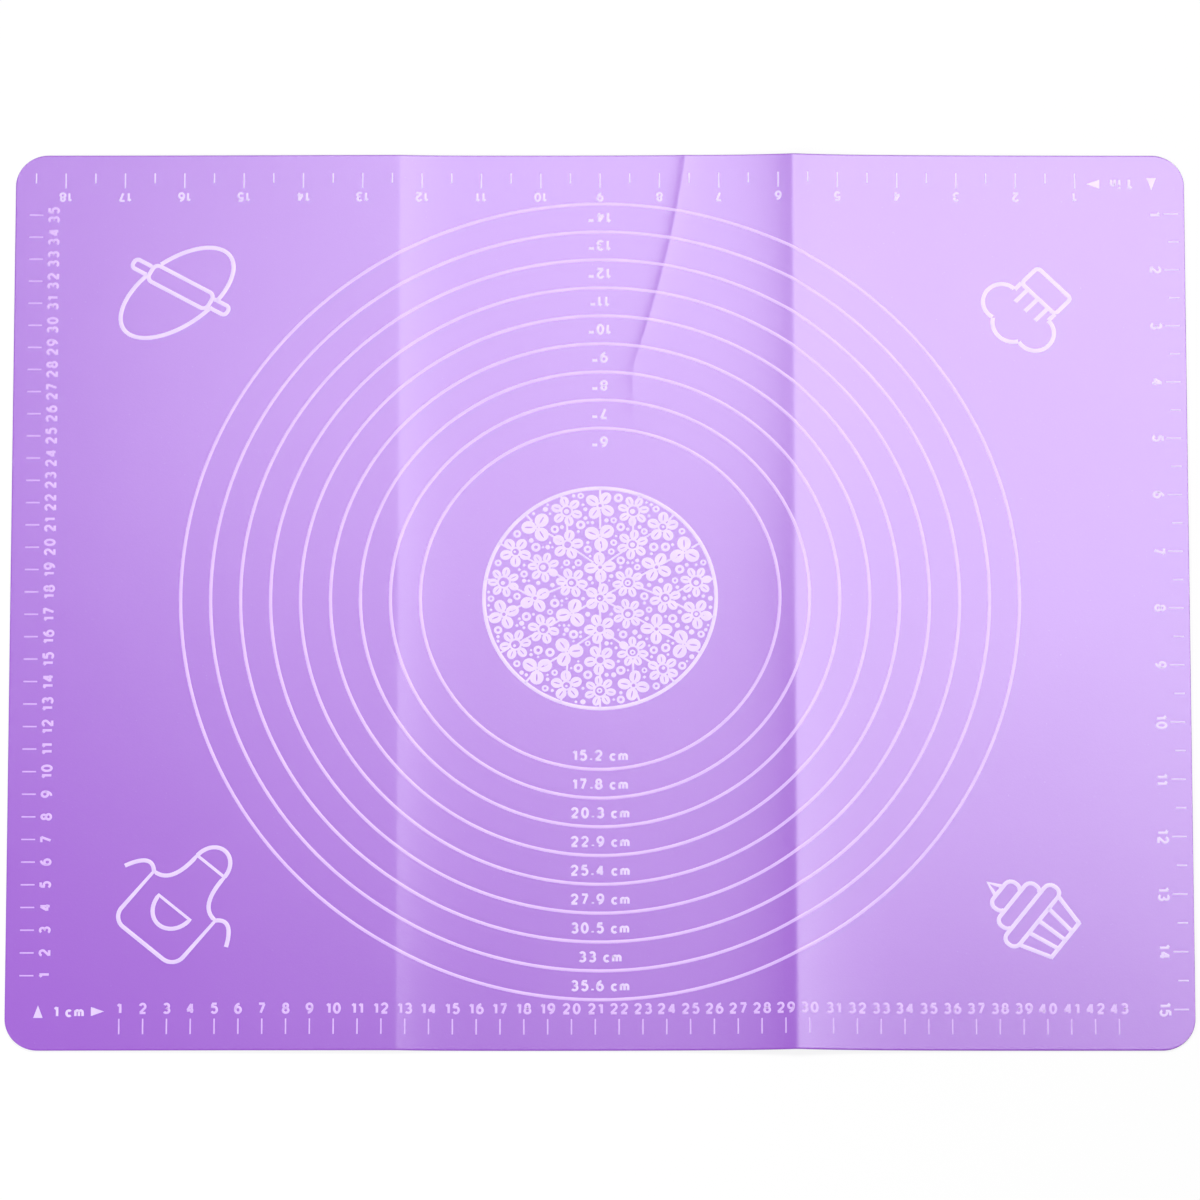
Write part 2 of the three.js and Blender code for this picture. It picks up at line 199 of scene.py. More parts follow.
# Figures and letters, drawn in strokes that are one unit high
LETTER_GAP = 0.5
FAR_FIGURES = 0.88
MARK_REACH = 4 * MM
INCH_LABEL_INSET = 6.1 * MM
CM_LABEL_INSET = 6.2 * MM


class Scale(NamedTuple):
    """A scale: its start, its ways along the edge and inward, and how far from the edge its marks lie"""

    name: str
    zero: tuple
    along: tuple
    inward: tuple
    pitch: float
    count: int
    turn: float
    ticks: tuple
    half_tick: float
    figures: float


SCALES = (
    Scale("cm_scale_near", zero=(-212 * MM, -HALF_DEPTH), along=(1, 0), inward=(0, 1), pitch=10 * MM,
          count=43, turn=0, ticks=(7 * MM, 13.8 * MM), half_tick=0, figures=18.3 * MM),
    Scale("cm_scale_left", zero=(-HALF_WIDTH, -177.2 * MM), along=(0, 1), inward=(1, 0), pitch=10 * MM,
          count=35, turn=90, ticks=(6 * MM, 11.9 * MM), half_tick=0, figures=16.4 * MM),
    Scale("inch_scale_far", zero=(9 * INCH, HALF_DEPTH), along=(-1, 0), inward=(0, -1), pitch=INCH, count=18,
          turn=180, ticks=(8.2 * MM, 15 * MM), half_tick=4.5 * MM, figures=19 * MM),
    Scale("inch_scale_right", zero=(HALF_WIDTH, 7.83 * INCH), along=(0, -1), inward=(-1, 0), pitch=INCH,
          count=15, turn=-90, ticks=(2.6 * MM, 8.9 * MM), half_tick=4.4 * MM, figures=12.6 * MM),
)

# Finish of the two materials: roughness from its least to its most, gloss, and the size of the clouds and of
# the grain, as counts in a metre, with the strength of the grain's relief
SILICONE_ROUGHNESS = (0.24, 0.285)
SILICONE_GLOSS = 0.80
SILICONE_GRAIN = (9.0, 1400.0, 0.12)
INK_ROUGHNESS = (0.32, 0.40)
INK_GLOSS = 0.75
INK_GRAIN = (160.0, 2200.0, 0.15)
RELIEF_DEPTH = 0.2 * MM
CLOUD_SPREAD = (0.3, 0.7)
NOISE_DETAIL = {"Cloud": 3.0, "Grain": 2.0}
NOISE_ROUGHNESS = 0.55

# Stage
KEY_PLACE = (0.375, 0.86, 2.0)
KEY_SIZE = (1.36, 0.80)
SIDE_PLACE = (-0.85, -0.65, 1.0)
SIDE_SIZE = (1.0, 0.8)
FLOOR_SIZE = 8
FLOOR_GAP = 0.1 * MM
FLOOR_GREY = 0.9


class PastryMatSheet(bpy.types.PropertyGroup):
    """Sizes and colours of the silicone sheet"""

    colour: bpy.props.FloatVectorProperty(
        name="Silicone", description="Colour of the sheet", subtype="COLOR", size=3, min=0, max=1,
        default=(0.305, 0.078, 0.605))
    cloud_colour: bpy.props.FloatVectorProperty(
        name="Clouds", description="Colour of the milkier patches in the sheet", subtype="COLOR", size=3,
        min=0, max=1, default=(0.32, 0.088, 0.62))
    corner_radius: bpy.props.FloatProperty(
        name="Corner radius", description="Radius of the four corners", default=14 * MM, unit="LENGTH")
    rim_radius: bpy.props.FloatProperty(
        name="Rim radius", description="Rounding of the sheet's cut edge", default=0.15 * MM, unit="LENGTH")
    bend_width: bpy.props.FloatProperty(
        name="Bend width", description="Width of the strip that bends at a crease", default=12 * MM,
        unit="LENGTH")
    crest_radius: bpy.props.FloatProperty(
        name="Crest radius", description="Roundness of the crest of a crease", default=0.8 * MM,
        unit="LENGTH")
    left_ridge: bpy.props.FloatProperty(
        name="Left ridge", description="Height at which the left crease stands", default=0.75 * MM,
        unit="LENGTH")
    right_ridge: bpy.props.FloatProperty(
        name="Right ridge", description="Height of the right crease over its swell", default=1.4 * MM,
        unit="LENGTH")
    right_swell: bpy.props.FloatProperty(
        name="Right swell", description="Height of the broad swell under the right crease",
        default=1.0 * MM, unit="LENGTH")
    edge_rise: bpy.props.FloatProperty(
        name="Edge rise", description="How much more a ridge stands at the edges than in the middle",
        default=0.2)
    crinkle_height: bpy.props.FloatProperty(
        name="Crinkle", description="Height of the slanting crinkle in the middle panel", default=0.2 * MM,
        unit="LENGTH")
    crinkle_swell: bpy.props.FloatProperty(
        name="Crinkle swell", description="Height of the broad swell under the crinkle",
        default=0.24 * MM, unit="LENGTH")
    wave_height: bpy.props.FloatProperty(
        name="Waves", description="Height of the slow waves in which the sheet lies", default=0.6 * MM,
        unit="LENGTH")


class PastryMatPrint(bpy.types.PropertyGroup):
    """Sizes and colours of the raised print"""

    colour: bpy.props.FloatVectorProperty(
        name="Ink", description="Colour of the print", subtype="COLOR", size=3, min=0, max=1,
        default=(0.76, 0.60, 0.95))
    thin_colour: bpy.props.FloatVectorProperty(
        name="Thin ink", description="Colour where the ink is laid thinly", subtype="COLOR", size=3,
        min=0, max=1, default=(0.70, 0.53, 0.93))
    line_colour: bpy.props.FloatVectorProperty(
        name="Line ink", description="Colour of the rings and the centimetre scales", subtype="COLOR",
        size=3, min=0, max=1, default=(0.70, 0.46, 0.93))
    thin_line_colour: bpy.props.FloatVectorProperty(
        name="Thin line ink", description="Colour of lines where the ink is laid thinly", subtype="COLOR",
        size=3, min=0, max=1, default=(0.65, 0.41, 0.91))
    ring_line: bpy.props.FloatProperty(
        name="Ring line", description="Width of the measuring rings", default=1.4 * MM, unit="LENGTH")
    picture_line: bpy.props.FloatProperty(
        name="Picture line", description="Width of the lines of the corner pictures", default=1.8 * MM,
        unit="LENGTH")
    tick_line: bpy.props.FloatProperty(
        name="Tick line", description="Width of a scale's ticks", default=0.6 * MM, unit="LENGTH")
    figure_height: bpy.props.FloatProperty(
        name="Figures", description="Height of the scales' figures", default=5.0 * MM, unit="LENGTH")
    label_height: bpy.props.FloatProperty(
        name="Ring labels", description="Height of the figures on the rings", default=5.0 * MM,
        unit="LENGTH")
    figure_weight: bpy.props.FloatProperty(
        name="Weight", description="Width of a figure's strokes as a share of its height", default=0.21,
        subtype="FACTOR")


class PastryMatStage(bpy.types.PropertyGroup):
    """Camera and light"""

    distance: bpy.props.FloatProperty(
        name="Distance", description="From the camera to the middle of the mat", default=6.0, unit="LENGTH")
    elevation: bpy.props.FloatProperty(
        name="Elevation", description="Camera's angle above the floor", subtype="ANGLE",
        default=math.radians(71.53))
    lens: bpy.props.FloatProperty(
        name="Lens", description="Focal length in millimetres", default=424.5)
    shift: bpy.props.FloatProperty(
        name="Shift", description="Upward shift of the picture", default=-0.0008)
    key_power: bpy.props.FloatProperty(
        name="Key light", description="Power of the soft light over the far right corner", default=32.0,
        unit="POWER")
    side_power: bpy.props.FloatProperty(
        name="Side light", description="Power of the weak light over the near left corner", default=10.0,
        unit="POWER")
    fill_strength: bpy.props.FloatProperty(
        name="Fill", description="Strength of the light from all round", default=0.2)
    floor_glow: bpy.props.FloatProperty(
        name="Floor glow", description="Share of the floor's white that shade doesn't change", default=0.82,
        subtype="FACTOR")


def take(*objects):
    """Selects these objects alone and makes the first one active."""
    bpy.ops.object.select_all(action="DESELECT")
    for obj in objects:
        obj.select_set(True)
    bpy.context.view_layer.objects.active = objects[0]


def zones():
    """The part of the long side that each panel and each bending strip covers."""
    half = bpy.context.scene.pastry_mat_sheet.bend_width / 2
    cuts = (-HALF_WIDTH, LEFT_CREASE - half, LEFT_CREASE + half, RIGHT_CREASE - half, RIGHT_CREASE + half,
            HALF_WIDTH)
    return {name: (cuts[i], cuts[i + 1]) for i, name in enumerate(COLUMNS)}


def ridge(distance, height, reaches, crest):
    """Height beside a soft crest that falls away to its left and to its right."""
    reach = reaches[0] if distance < 0 else reaches[1]
    return height * math.exp(-(math.hypot(distance, crest) - crest) / reach)


def crinkle_x(y):
    """Where the crinkle, or the straight run below it, crosses a row."""
    along = max(0.0, (y - CRINKLE_FOOT[1]) / CRINKLE_RUN)
    return CRINKLE_FOOT[0] + CRINKLE_LEAN * along - CRINKLE_BOW * along ** 2


def lie(x, y):
    """Height of the sheet's underside over the floor."""
    s = bpy.context.scene.pastry_mat_sheet
    end = 1 + s.edge_rise * (y / HALF_DEPTH) ** 2
    height = ridge(x - LEFT_CREASE, s.left_ridge * end, LEFT_REACH, s.crest_radius)
    height += ridge(x - RIGHT_CREASE, s.right_ridge * end, RIGHT_REACH, s.crest_radius)
    height += ridge(x - RIGHT_CREASE, s.right_swell * end, RIGHT_SWELL_REACH, s.crest_radius)
    fade = min(1.0, max(0.0, (y - CRINKLE_END) / CRINKLE_FADE))
    if fade > 0:
        aside = x - crinkle_x(y)
        height += ridge(aside, s.crinkle_height * fade, CRINKLE_REACH, s.crest_radius / 2)
        height += ridge(aside, s.crinkle_swell * fade, CRINKLE_SWELL_REACH, s.crest_radius / 2)
    slow = math.sin(x / SLOW_WAVE[0] + SLOW_START[0]) * math.sin(y / SLOW_WAVE[1] + SLOW_START[1])
    quick = math.sin(x / QUICK_WAVE[0] - y / QUICK_WAVE[1] + QUICK_START)
    reach = 1 + QUICK_SHARE
    return height + s.wave_height * (reach + slow + QUICK_SHARE * quick) / (2 * reach)


def cut_across(obj, places):
    """Cuts a mesh along upright planes across the long side, and keeps all of it."""
    take(obj)
    bpy.ops.object.mode_set(mode="EDIT")
    for x in places:
        bpy.ops.mesh.select_all(action="SELECT")
        bpy.ops.mesh.bisect(plane_co=(x, 0, 0), plane_no=(1, 0, 0))
    bpy.ops.object.mode_set(mode="OBJECT")


def trim(obj, place, inward):
    """Cuts off what lies on the far side of a plane and closes the cut; inward points to what stays."""
    take(obj)
    bpy.ops.object.mode_set(mode="EDIT")
    bpy.ops.mesh.select_all(action="SELECT")
    bpy.ops.mesh.bisect(plane_co=place, plane_no=inward, use_fill=True, clear_inner=True)
    bpy.ops.object.mode_set(mode="OBJECT")


def follow(obj, zone):
    """Parts flat print finely enough to bend over the crest of a crease, or over the crinkle."""
    low, high = zones()[zone]
    if zone.endswith("crease"):
        columns = COLUMNS[zone]
        cut_across(obj, [low + (high - low) * i / columns for i in range(1, columns)])
    elif zone == "centre_panel":
        far = [vertex.co.y for vertex in obj.data.vertices if vertex.co.y > CRINKLE_END]
        if far:
            first = crinkle_x(min(far)) - CRINKLE_MARGIN
            last = crinkle_x(max(far)) + CRINKLE_MARGIN
            steps = round((last - first) / CRINKLE_STEP)
            cut_across(obj, [first + CRINKLE_STEP * i for i in range(steps + 1)])


def copy_of(obj):
    """A copy with its own mesh."""
    take(obj)
    bpy.ops.object.duplicate()
    return bpy.context.active_object


def hold(obj, zone):
    """Ties a piece to its panel; a piece on a crease only has its place baked into its mesh."""
    if zone == "left_crease":
        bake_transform(obj)
    elif zone == "right_crease":
        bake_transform(obj)
    else:
        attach(obj, zone)


def finish_piece(obj, name, material, zone):
    """Names, colours and smooths a piece; a piece on a panel is tied to that panel's body."""
    obj.name = name
    obj.data.name = name
    obj.data.materials.clear()
    obj.data.materials.append(material)
    take(obj)
    bpy.ops.object.shade_smooth_by_angle(angle=SHARP_ANGLE)
    hold(obj, zone)


def finish_print(obj, name, zone, full=False):
    """Lays flat print on the sheet and makes a piece of it; full is for print in full ink."""
    follow(obj, zone)
    for vertex in obj.data.vertices:
        vertex.co.z += SHEET_TOP + lie(vertex.co.x, vertex.co.y)
    finish_piece(obj, name, ink(full), zone)


def curve_object(name, strokes, dimensions):
    """A curve through points in metres; each stroke is (points, closed)."""
    curve = bpy.data.curves.new(name, "CURVE")
    curve.dimensions = dimensions
    for points, closed in strokes:
        spline = curve.splines.new("POLY")
        spline.points.add(len(points) - 1)
        for point, (x, y) in zip(spline.points, points):
            point.co = (x, y, 0, 1)
        spline.use_cyclic_u = closed
    obj = bpy.data.objects.new(name, curve)
    bpy.context.collection.objects.link(obj)
    return obj


def flatten(obj, half_height):
    """Presses a mesh that is round across down to the height of the print."""
    take(obj)
    bpy.ops.object.mode_set(mode="EDIT")
    bpy.ops.mesh.select_all(action="SELECT")
    bpy.ops.transform.resize(value=(1, 1, INK_HEIGHT / half_height), center_override=(0, 0, 0))
    bpy.ops.object.mode_set(mode="OBJECT")


def drawn_lines(name, strokes, width):
    """Printed lines with a low round back, made from strokes."""
    obj = curve_object(name, strokes, "3D")
    obj.data.bevel_depth = width / 2
    obj.data.bevel_resolution = 1
    obj.data.use_fill_caps = True
    take(obj)
    bpy.ops.object.convert(target="MESH")
    flatten(obj, width / 2)
    return obj


def drawn_areas(name, outlines):
    """Printed areas, made from closed outlines with holes."""
    obj = curve_object(name, [(points, True) for points in outlines], "2D")
    obj.data.fill_mode = "BOTH"
    obj.data.extrude = INK_HEIGHT
    take(obj)
    bpy.ops.object.convert(target="MESH")
    return obj


def drawn_text(name, labels, height):
    """Figures and unit letters as one mesh; each label is (text, x, y, turn)."""
    s = bpy.context.scene.pastry_mat_print
    width = s.figure_weight * height
    scale = height - width
    strokes = []
    for text, x, y, turn in labels:
        drawn = []
        reach = 0.0
        for sign in text:
            shape = glyph(sign)
            for points, closed in shape:
                drawn.append(([(reach + px, py - 0.5) for px, py in points], closed))
            ends = [px for points, closed in shape for px, py in points]
            reach += max(ends, default=0.0) + LETTER_GAP
        middle = (reach - LETTER_GAP) / 2
        for points, closed in drawn:
            flat = [((px - middle) * scale, py * scale) for px, py in points]
            spun = turned(flat, turn)
            strokes.append(([(x + px, y + py) for px, py in spun], closed))
    return drawn_lines(name, strokes, width)


def arc(x, y, radius_x, radius_y, start, end, steps=ARC_STEPS):
    """Points on an ellipse between two angles in degrees."""
    points = []
    for i in range(steps + 1):
        angle = math.radians(start + (end - start) * i / steps)
        points.append((x + radius_x * math.cos(angle), y + radius_y * math.sin(angle)))
    return points


def bow(first, pull, last):
    """Points on a curve that leaves its first point towards the pull point."""
    points = []
    for i in range(BOW_STEPS + 1):
        t = i / BOW_STEPS
        weights = ((1 - t) ** 2, 2 * t * (1 - t), t * t)
        points.append(tuple(sum(w * p[k] for w, p in zip(weights, (first, pull, last))) for k in (0, 1)))
    return points


def bar(size, x, y):
    """Outline of a bar with round corners; size is (length, width, corner)."""
    length, width, corner = size
    points = []
    for side_x, side_y, start in ((1, 1, 0), (-1, 1, 90), (-1, -1, 180), (1, -1, 270)):
        centre_x = x + side_x * (length / 2 - corner)
        centre_y = y + side_y * (width / 2 - corner)
        points += arc(centre_x, centre_y, corner, corner, start, start + 90, CORNER_STEPS)
    return points


def in_bar(point, size, x, y):
    """Whether a point lies in a bar."""
    return abs(point[0] - x) < size[0] / 2 and abs(point[1] - y) < size[1] / 2


def clear_runs(points, covered):
    """The open strokes of a closed outline that nothing covers."""
    first = next(i for i, point in enumerate(points) if covered(point))
    runs = [[]]
    for point in points[first:] + points[:first]:
        if covered(point):
            if runs[-1]:
                runs.append([])
        else:
            runs[-1].append(point)
    return [(run, False) for run in runs if len(run) > 1]


def turned(points, degrees):
    """Points turned about the origin."""
    c = math.cos(math.radians(degrees))
    s = math.sin(math.radians(degrees))
    return [(c * x - s * y, s * x + c * y) for x, y in points]


def metres(points):
    """Points in metres from points in millimetres."""
    return [(x * MM, y * MM) for x, y in points]


def glyph(sign):
    """Strokes of a figure, a letter of a unit or a mark, from the foot at 0 to the head at 1."""
    ring = arc(0.29, 0.32, 0.29, 0.32, 0, 360)[:-1]
    low_ring = arc(0.29, 0.26, 0.29, 0.26, 0, 360)[:-1]
    stem = bow((0.0, 0.36), (0.02, 0.92), (0.46, 1.0))
    arch = arc(0.19, 0.42, 0.19, 0.2, 180, 0, ARCH_STEPS)
    shapes = {
        "0": [(arc(0.29, 0.5, 0.29, 0.5, 0, 360)[:-1], True)],
        "1": [([(0.0, 0.78), (0.24, 0.98)], False), ([(0.26, 1.0), (0.26, 0.0)], False)],
        "2": [(arc(0.29, 0.71, 0.28, 0.29, 165, -30) + [(0.02, 0.02)], False),
              ([(-0.02, 0.0), (0.6, 0.0)], False)],
        "3": [(arc(0.27, 0.75, 0.25, 0.25, 150, -90) + arc(0.27, 0.26, 0.29, 0.26, 80, -150), False)],
        "4": [([(0.46, 0.0), (0.46, 1.0)], False), ([(0.42, 0.98), (0.02, 0.29)], False),
              ([(-0.04, 0.27), (0.64, 0.27)], False)],
        "5": [([(0.54, 1.0), (0.06, 1.0)], False), ([(0.1, 1.0), (0.06, 0.54)], False),
              (arc(0.27, 0.33, 0.29, 0.33, 130, -150), False)],
        "6": [(ring, True), (stem, False)],
        "7": [([(0.0, 1.0), (0.6, 1.0)], False), ([(0.56, 1.0), (0.18, 0.0)], False)],
        "8": [(arc(0.29, 0.76, 0.23, 0.24, 0, 360)[:-1], True), (low_ring, True)],
        "9": [([(0.58 - x, 1 - y) for x, y in ring], True), ([(0.58 - x, 1 - y) for x, y in stem], False)],
        ".": [([(0.06, 0.0), (0.06, 0.16)], False)],
        '"': [([(0.05, 0.7), (0.05, 1.0)], False), ([(0.32, 0.7), (0.32, 1.0)], False)],
        "c": [(arc(0.26, 0.31, 0.26, 0.31, 45, 315), False)],
        "i": [([(0.05, 0.0), (0.05, 0.62)], False), ([(0.05, 0.86), (0.05, 1.0)], False)],
        "n": [([(0.0, 0.0), (0.0, 0.62)], False), (arch + [(0.38, 0.0)], False)],
        " ": [],
    }
    second = [(0.38 + x, y) for x, y in arch + [(0.38, 0.0)]]
    shapes["m"] = shapes["n"] + [(second, False)]
    return shapes[sign]


def rolling_pin():
    """A rolling pin across a piece of dough."""
    handle_x = (PIN_BARREL[0] + PIN_HANDLE[0]) / 2
    bars = ((PIN_BARREL, 0), (PIN_HANDLE, -handle_x), (PIN_HANDLE, handle_x))
    dough = turned(arc(0, 0, DOUGH[0] / 2, DOUGH[1] / 2, 0, 360, DOUGH_STEPS)[:-1], DOUGH_TURN)
    strokes = clear_runs(dough, lambda point: any(in_bar(point, size, x, PIN_RISE) for size, x in bars))
    strokes.append((bar(PIN_BARREL, 0, PIN_RISE), True))
    edge = PIN_BARREL[0] / 2 + LINE_LAP
    for size, x in bars[1:]:
        strokes += clear_runs(bar(size, x, PIN_RISE), lambda point: abs(point[0]) < edge)
    return strokes


def chef_hat():
    """A cook's tall hat."""
    base = -(HAT_BAND[1] + HAT_CROWN_HEIGHT) / 2
    band_top = base + HAT_BAND[1]
    side_x = HAT_BAND[0] / 2
    side_y = band_top + HAT_CROWN_HEIGHT / 2
    puffs = (
        (-side_x, side_y, HAT_SIDE_PUFF),
        (side_x, side_y, HAT_SIDE_PUFF),
        (0, band_top + HAT_CROWN_HEIGHT - HAT_TOP_PUFF, HAT_TOP_PUFF),
    )
    strokes = [(bar(HAT_BAND, 0, (base + band_top) / 2), True)]
    for puff in puffs:
        others = [other for other in puffs if other != puff]

        def covered(point):
            if abs(point[0]) < side_x and point[1] < side_y:
                return True
            return any(math.hypot(point[0] - x, point[1] - y) < radius for x, y, radius in others)

        outline = arc(puff[0], puff[1], puff[2], puff[2], 0, 360, PUFF_STEPS)[:-1]
        strokes += clear_runs(outline, covered)
    for x in (-side_x, side_x):
        strokes.append(([(x, band_top), (x, side_y - HAT_SIDE_PUFF)], False))
    for x in (-HAT_PLEAT_PITCH, 0, HAT_PLEAT_PITCH):
        strokes.append(([(x, band_top), (x, band_top + HAT_PLEAT_HEIGHT)], False))
    return strokes


def apron():
    """A bib apron with a neck loop and two ties."""
    hem_x = APRON_WAIST - APRON_HEM_CORNER
    hem_y = APRON_HEM + APRON_HEM_CORNER
    body = bow((-APRON_BIB, APRON_TOP), (-APRON_BIB, APRON_WAIST_Y), (-APRON_WAIST, APRON_WAIST_Y))
    body += arc(-hem_x, hem_y, APRON_HEM_CORNER, APRON_HEM_CORNER, 180, 270, HEM_STEPS)
    body += arc(hem_x, hem_y, APRON_HEM_CORNER, APRON_HEM_CORNER, 270, 360, HEM_STEPS)
    body += bow((APRON_WAIST, APRON_WAIST_Y), (APRON_BIB, APRON_WAIST_Y), (APRON_BIB, APRON_TOP))
    strokes = [(body, True), (arc(0, APRON_TOP, APRON_BIB, APRON_LOOP_HEIGHT, 0, 180), False)]
    for side in (-1, 1):
        strokes.append((bow(
            (side * APRON_WAIST, APRON_WAIST_Y),
            (side * (APRON_WAIST + APRON_TIE / 2), APRON_WAIST_Y + APRON_TIE_DROP),
            (side * (APRON_WAIST + APRON_TIE), APRON_WAIST_Y - APRON_TIE_DROP)), False))
    return strokes


def apron_pocket():
    """The pocket of the apron."""
    return [(arc(0, APRON_WAIST_Y - POCKET_DROP, POCKET[0] / 2, POCKET[1], 180, 360), True)]


def cupcake():
    """A cupcake with three tiers of icing."""
    base = -(CUP_HEIGHT + ICING_TIERS * ICING_TIER_HEIGHT + ICING_TIP) / 2
    rim = base + CUP_HEIGHT
    foot_x = CUP_BASE / 2 + LINE_LAP
    strokes = [([(-foot_x, base), (foot_x, base)], False)]
    for side in (-1, 1):
        strokes.append(([(side * CUP_BASE / 2, base), (side * CUP_TOP / 2, rim)], False))
    for i in range(CUP_PLEATS):
        across = (i + 1) / (CUP_PLEATS + 1) - 0.5
        strokes.append(([(across * CUP_BASE, base), (across * CUP_TOP, rim)], False))
    for i in range(ICING_TIERS):
        size = (ICING_BOTTOM - i * ICING_STEP, ICING_TIER_HEIGHT, ICING_TIER_HEIGHT / 2 - ICING_FLAT)
        foot = rim + i * ICING_TIER_HEIGHT
        tier = bar(size, 0, foot + ICING_TIER_HEIGHT / 2)
        if i == 0:
            strokes.append((tier, True))
        else:
            strokes += clear_runs(tier, lambda point: point[1] < foot + ICING_LAP)
    tip = rim + ICING_TIERS * ICING_TIER_HEIGHT
    half = (ICING_BOTTOM - ICING_TIERS * ICING_STEP) / 2
    strokes.append(([(-half, tip), (0, tip + ICING_TIP), (half, tip)], False))
    return strokes


def put_at(obj, node):
    """Moves a mesh so that its middle is the middle of a CAD node, seen from above."""
    low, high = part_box(node)
    spots = [vertex.co for vertex in obj.data.vertices]
    move_x = (low.x + high.x - min(p.x for p in spots) - max(p.x for p in spots)) / 2
    move_y = (low.y + high.y - min(p.y for p in spots) - max(p.y for p in spots)) / 2
    take(obj)
    obj.location = (move_x, move_y, 0)
    bpy.ops.object.transform_apply(location=True, rotation=True, scale=True)


def flower(shape, x, y, turn):
    """Outlines of a flower's petals with their veins, and the ring round its eye."""
    petals, reach, length, width = shape
    areas = []
    for i in range(petals):
        oval = arc(reach, 0, length, width, 0, 360, PETAL_STEPS)[:-1]
        vein = arc(reach, 0, length * VEIN[0], width * VEIN[1], 0, 360, PETAL_STEPS)[:-1]
        areas += [turned(points, turn + 360 * i / petals) for points in (oval, vein)]
    eye = max(reach - length + EYE_LAP / FLOWER_RADIUS, TIE_WIDTH / 2 / FLOWER_RADIUS)
    areas.append(arc(0, 0, eye, eye, 0, 360, PETAL_STEPS)[:-1])
    placed = [[(x + px * FLOWER_RADIUS, y + py * FLOWER_RADIUS) for px, py in points] for points in areas]
    return placed[:-1], placed[-1]


def lace(radius):
    """Areas and lines of the medallion: flowers in rings, each tied to one further in, inside a rim."""
    rim = radius - RIM_WIDTH / 2
    areas = []
    lines = []
    inner = []
    made = 0
    for ring in range(FLOWER_RINGS):
        count = max(1, ring * FLOWERS_PER_RING)
        spots = []
        for i in range(count):
            bearing = 2 * math.pi * (i + ring / 2) / count
            spot = Vector((math.cos(bearing), math.sin(bearing))) * ring * (2 * FLOWER_RADIUS + FLOWER_GAP)
            shape = FLOWERS[made % len(FLOWERS)]
            petals, eye = flower(shape, spot.x, spot.y, math.degrees(made * FLOWER_TURN))
            areas += petals
            lines.append((eye, True))
            if inner:
                near = min(inner, key=lambda other: (other - spot).length)
                step = (near - spot).normalized() * TIE_START * FLOWER_RADIUS
                lines.append(([tuple(spot + step), tuple(near - step)], False))
            spots.append(spot)
            made += 1
        inner = spots
    for spot in inner:
        way = spot.normalized()
        lines.append(([tuple(spot + way * TIE_START * FLOWER_RADIUS), tuple(way * rim)], False))
    edge = arc(0, 0, rim, rim, 0, 360, MEDALLION_STEPS)[:-1]
    return areas + berries(areas, lines, rim), lines, [(edge, True)]


def berries(areas, lines, rim):
    """Outlines of round berries, each as large as the room between the flowers lets it be."""
    marks = []
    for points in areas:
        middle = Vector((sum(x for x, y in points), sum(y for x, y in points))) / len(points)
        for share in PETAL_MARKS:
            marks += [middle + (Vector(point) - middle) * share for point in points]
    for points, closed in lines:
        ends = zip(points, points[1:] + points[:1] if closed else points[1:])
        for first, last in ends:
            marks += [Vector(first).lerp(Vector(last), i / TIE_MARKS) for i in range(TIE_MARKS + 1)]
    tree = KDTree(len(marks))
    for i, mark in enumerate(marks):
        tree.insert((mark.x, mark.y, 0), i)
    tree.balance()
    rows = [i - rim for i in range(int(2 * rim) + 1)]
    free = []
    for x in rows:
        for y in rows:
            room = min(tree.find((x, y, 0))[2] - TIE_WIDTH / 2, rim - RIM_WIDTH / 2 - math.hypot(x, y))
            if room > BERRY_RADII[0] + BERRY_GAP:
                free.append((room - BERRY_GAP, x, y))
    placed = []
    outlines = []
    for room, x, y in sorted(free, reverse=True):
        nearest = min((math.hypot(x - px, y - py) - size for size, px, py in placed), default=rim)
        size = min(room, nearest - BERRY_GAP, BERRY_RADII[1])
        if size >= BERRY_RADII[0]:
            placed.append((size, x, y))
            outlines.append(arc(x, y, size, size, 0, 360, PETAL_STEPS)[:-1])
            if size > BERRY_WITH_EYE:
                outlines.append(arc(x, y, size * BERRY_EYE, size * BERRY_EYE, 0, 360, PETAL_STEPS)[:-1])
    return outlines


def node_of(tree, kind, **inputs):
    """A shader node with its plain inputs set by name."""
    made = tree.nodes.new(kind)
    for name, value in inputs.items():
        made.inputs[name.replace("_", " ")].default_value = value
    return made


def rubber_grain():
    """Node group: slow clouds in a moulded surface and the fine grain on it."""
    group = bpy.data.node_groups.get("rubber_grain")
    if group:
        return group
    group = bpy.data.node_groups.new("rubber_grain", "ShaderNodeTree")
    group.interface.new_socket("Vector", in_out="INPUT", socket_type="NodeSocketVector")
    for name, default in zip(("Cloud Scale", "Grain Scale"), SILICONE_GRAIN):
        socket = group.interface.new_socket(name, in_out="INPUT", socket_type="NodeSocketFloat")
        socket.default_value = default
    group.interface.new_socket("Cloud", in_out="OUTPUT", socket_type="NodeSocketFloat")
    group.interface.new_socket("Grain", in_out="OUTPUT", socket_type="NodeSocketFloat")
    source = group.nodes.new("NodeGroupInput")
    result = group.nodes.new("NodeGroupOutput")
    for name, detail in NOISE_DETAIL.items():
        noise = node_of(group, "ShaderNodeTexNoise", Detail=detail, Roughness=NOISE_ROUGHNESS)
        group.links.new(source.outputs["Vector"], noise.inputs["Vector"])
        group.links.new(source.outputs[name + " Scale"], noise.inputs["Scale"])
        group.links.new(noise.outputs["Fac"], result.inputs[name])
    return group


